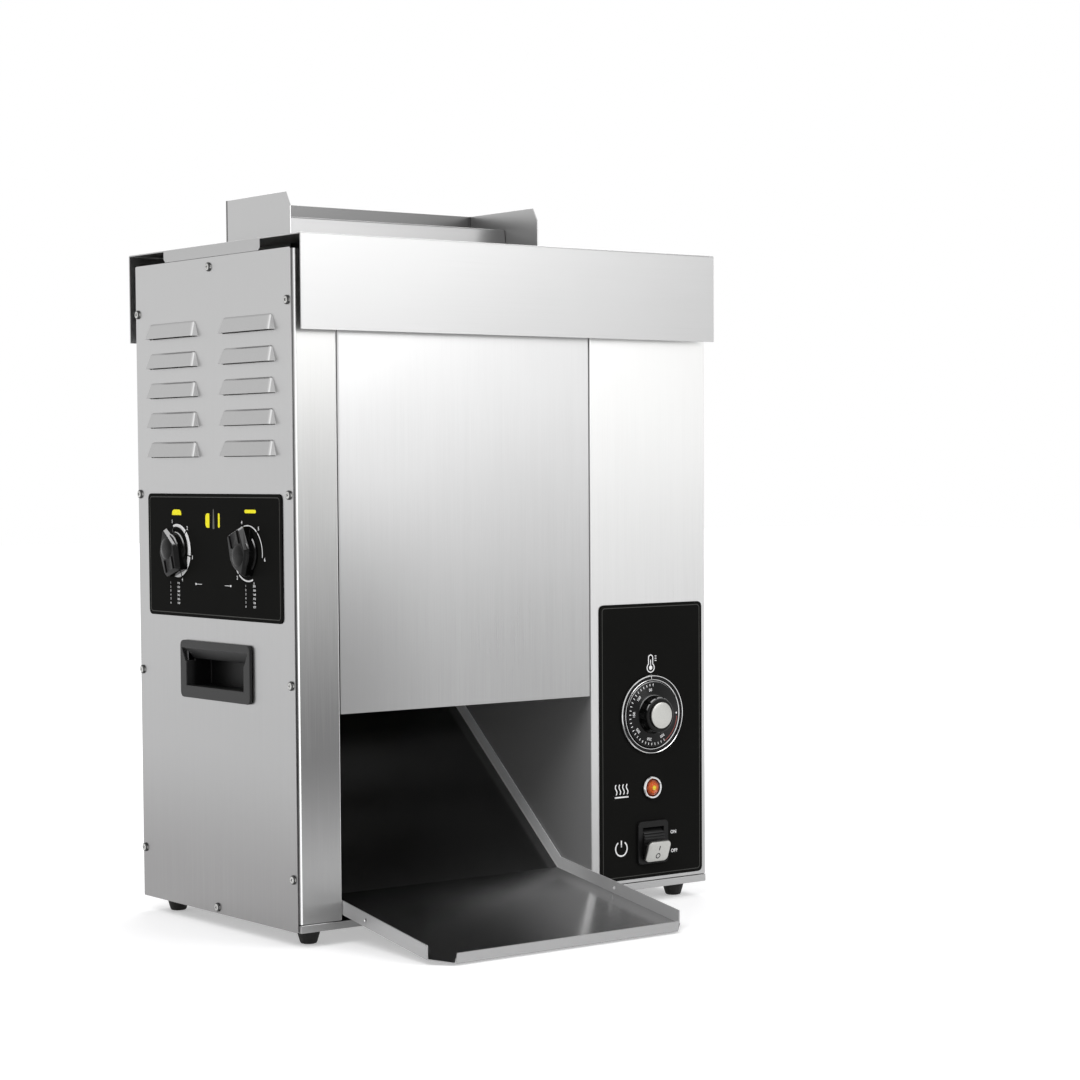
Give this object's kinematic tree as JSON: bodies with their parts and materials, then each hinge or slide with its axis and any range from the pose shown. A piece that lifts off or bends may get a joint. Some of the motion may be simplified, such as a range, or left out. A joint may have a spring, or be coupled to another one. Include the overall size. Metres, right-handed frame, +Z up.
{
  "type": "vertical contact toaster",
  "caption": "Free-standing vertical bun toaster: stainless casing, top feeder, rung belts against a heated platen, two gap knobs, dial, switch, lamp and a pull-out chute.",
  "frame": {"origin": "middle of the part's footprint, tray and lid included, on the surface that the feet stand on", "axes": "+X to the right seen from the front, +Y from the front to the rear, +Z up"},
  "size_m": [0.5008, 0.4486, 0.682],
  "materials": {
    "base_pan": "brushed stainless sheet",
    "foot_front_left": "matt black",
    "foot_front_right": "matt black",
    "foot_rear_left": "matt black",
    "foot_rear_right": "matt black",
    "left_frame": "brushed stainless sheet",
    "right_frame": "brushed stainless sheet",
    "rear_panel": "brushed stainless sheet",
    "left_side_panel": "brushed stainless sheet",
    "right_side_panel": "brushed stainless sheet",
    "front_cover": "brushed stainless sheet",
    "top_cover": "brushed stainless sheet",
    "bun_feeder": "brushed stainless sheet",
    "feed_divider": "brushed stainless sheet",
    "chute_tray": "black non-stick coated",
    "left_handle": "black moulded",
    "right_handle": "black moulded",
    "side_control_plate": "printed black plate",
    "front_control_plate": "printed black plate",
    "base_knob": "black moulded",
    "base_cam_shaft": "plain steel",
    "base_pressure_plate": "brushed stainless sheet",
    "base_belt": "plain steel",
    "base_drive_shaft": "plain steel",
    "base_idler_shaft": "plain steel",
    "crown_knob": "black moulded",
    "crown_cam_shaft": "plain steel",
    "crown_pressure_plate": "brushed stainless sheet",
    "crown_belt": "plain steel",
    "crown_drive_shaft": "plain steel",
    "crown_idler_shaft": "plain steel",
    "platen_frame": "satin",
    "platen_front_face": "satin",
    "platen_rear_face": "satin",
    "heating_element": "dark sheathed element",
    "thermostat_bezel": "bright",
    "thermostat_dial": "black moulded",
    "thermostat_cap": "silver moulded",
    "thermostat_body": "plain steel",
    "lamp_bezel": "bright",
    "lamp_lens": "clear amber",
    "switch_housing": "black moulded",
    "switch_paddle": "black moulded",
    "switch_cap": "silver moulded",
    "drive_chain": "plain steel",
    "gear_motor": "grey cast",
    "motor_sprocket": "plain steel",
    "chain_idler": "plain steel",
    "idler_stud": "plain steel",
    "cord_gland": "black moulded",
    "base_drive_bush_left": "sintered bush",
    "base_drive_bush_right": "sintered bush",
    "base_idler_bush_left": "sintered bush",
    "base_idler_bush_right": "sintered bush",
    "crown_drive_bush_left": "sintered bush",
    "crown_drive_bush_right": "sintered bush",
    "crown_idler_bush_left": "sintered bush",
    "crown_idler_bush_right": "sintered bush"
  },
  "bodies": {
    "casing": {"base_pan": "base_pan", "foot_front_left": "foot_front_left", "foot_front_right": "foot_front_right", "foot_rear_left": "foot_rear_left", "foot_rear_right": "foot_rear_right", "left_frame": "left_frame", "right_frame": "right_frame", "rear_panel": "rear_panel", "left_side_panel": "left_side_panel", "right_side_panel": "right_side_panel", "front_cover": "front_cover", "left_handle": "left_handle", "right_handle": "right_handle", "side_control_plate": "side_control_plate", "front_control_plate": "front_control_plate", "base_belt": "base_belt", "crown_belt": "crown_belt", "platen_frame": "platen_frame", "platen_front_face": "platen_front_face", "platen_rear_face": "platen_rear_face", "heating_element": "heating_element", "thermostat_bezel": "thermostat_bezel", "thermostat_body": "thermostat_body", "lamp_bezel": "lamp_bezel", "lamp_lens": "lamp_lens", "switch_housing": "switch_housing", "drive_chain": "drive_chain", "gear_motor": "gear_motor", "idler_stud": "idler_stud", "cord_gland": "cord_gland", "base_drive_bush_left": "base_drive_bush_left", "base_drive_bush_right": "base_drive_bush_right", "base_idler_bush_left": "base_idler_bush_left", "base_idler_bush_right": "base_idler_bush_right", "crown_drive_bush_left": "crown_drive_bush_left", "crown_drive_bush_right": "crown_drive_bush_right", "crown_idler_bush_left": "crown_idler_bush_left", "crown_idler_bush_right": "crown_idler_bush_right"},
    "lid": {"top_cover": "top_cover", "bun_feeder": "bun_feeder", "feed_divider": "feed_divider"},
    "tray": {"chute_tray": "chute_tray"},
    "crown_selector": {"crown_knob": "crown_knob", "crown_cam_shaft": "crown_cam_shaft"},
    "base_selector": {"base_knob": "base_knob", "base_cam_shaft": "base_cam_shaft"},
    "crown_press": {"crown_pressure_plate": "crown_pressure_plate"},
    "base_press": {"base_pressure_plate": "base_pressure_plate"},
    "thermostat": {"thermostat_dial": "thermostat_dial", "thermostat_cap": "thermostat_cap"},
    "switch": {"switch_paddle": "switch_paddle", "switch_cap": "switch_cap"},
    "base_drive": {"base_drive_shaft": "base_drive_shaft"},
    "base_idler": {"base_idler_shaft": "base_idler_shaft"},
    "crown_drive": {"crown_drive_shaft": "crown_drive_shaft"},
    "crown_idler": {"crown_idler_shaft": "crown_idler_shaft"},
    "motor_output": {"motor_sprocket": "motor_sprocket"},
    "chain_guide": {"chain_idler": "chain_idler"}
  },
  "joints": [
    {"name": "lid_lift", "type": "slide", "parent": "casing", "child": "lid", "axis": [0, 0, 1], "range_m": [0, 0.1]},
    {"name": "tray_slide", "type": "slide", "parent": "casing", "child": "tray", "axis": [0, -1, 0], "range_m": [0, 0.2]},
    {"name": "crown_knob_turn", "type": "hinge", "parent": "casing", "child": "crown_selector", "pos_m": [-0.23605, 0.13589, 0.352], "axis": [1, 0, 0], "range_deg": [0, 300]},
    {"name": "base_knob_turn", "type": "hinge", "parent": "casing", "child": "base_selector", "pos_m": [-0.23605, 0.00739, 0.352], "axis": [1, 0, 0], "range_deg": [0, 300]},
    {"name": "crown_press_slide", "type": "slide", "parent": "casing", "child": "crown_press", "axis": [0, -1, 0], "range_m": [0, 0.008]},
    {"name": "base_press_slide", "type": "slide", "parent": "casing", "child": "base_press", "axis": [0, 1, 0], "range_m": [0, 0.008]},
    {"name": "thermostat_turn", "type": "hinge", "parent": "casing", "child": "thermostat", "pos_m": [0.17095, -0.07401, 0.186], "axis": [0, 1, 0], "range_deg": [0, 270]},
    {"name": "switch_rock", "type": "hinge", "parent": "casing", "child": "switch", "pos_m": [0.17095, -0.06101, 0.06], "axis": [-1, 0, 0], "range_deg": [0, 40]},
    {"name": "base_drive_spin", "type": "hinge", "parent": "casing", "child": "base_drive", "pos_m": [0.10895, 0.00639, 0.3], "axis": [1, 0, 0], "continuous": true},
    {"name": "base_idler_spin", "type": "hinge", "parent": "casing", "child": "base_idler", "pos_m": [0.10895, 0.00639, 0.55808], "axis": [1, 0, 0], "continuous": true},
    {"name": "crown_drive_spin", "type": "hinge", "parent": "casing", "child": "crown_drive", "pos_m": [0.10895, 0.13539, 0.3], "axis": [1, 0, 0], "continuous": true},
    {"name": "crown_idler_spin", "type": "hinge", "parent": "casing", "child": "crown_idler", "pos_m": [0.10895, 0.13539, 0.55808], "axis": [1, 0, 0], "continuous": true},
    {"name": "motor_spin", "type": "hinge", "parent": "casing", "child": "motor_output", "pos_m": [0.10895, 0.11239, 0.08], "axis": [1, 0, 0], "continuous": true},
    {"name": "chain_idler_spin", "type": "hinge", "parent": "casing", "child": "chain_guide", "pos_m": [0.10895, 0.18339, 0.335], "axis": [1, 0, 0], "continuous": true}
  ],
  "couplings": [
    {"joint": "crown_knob_turn", "follows": "crown_press_slide", "rad_per_m": 654.5},
    {"joint": "base_knob_turn", "follows": "base_press_slide", "rad_per_m": 654.5},
    {"joint": "base_idler_spin", "follows": "base_drive_spin", "ratio": 1},
    {"joint": "crown_drive_spin", "follows": "base_drive_spin", "ratio": -1},
    {"joint": "crown_idler_spin", "follows": "base_drive_spin", "ratio": -1},
    {"joint": "motor_spin", "follows": "base_drive_spin", "ratio": 1},
    {"joint": "chain_idler_spin", "follows": "base_drive_spin", "ratio": 1.4444}
  ]
}
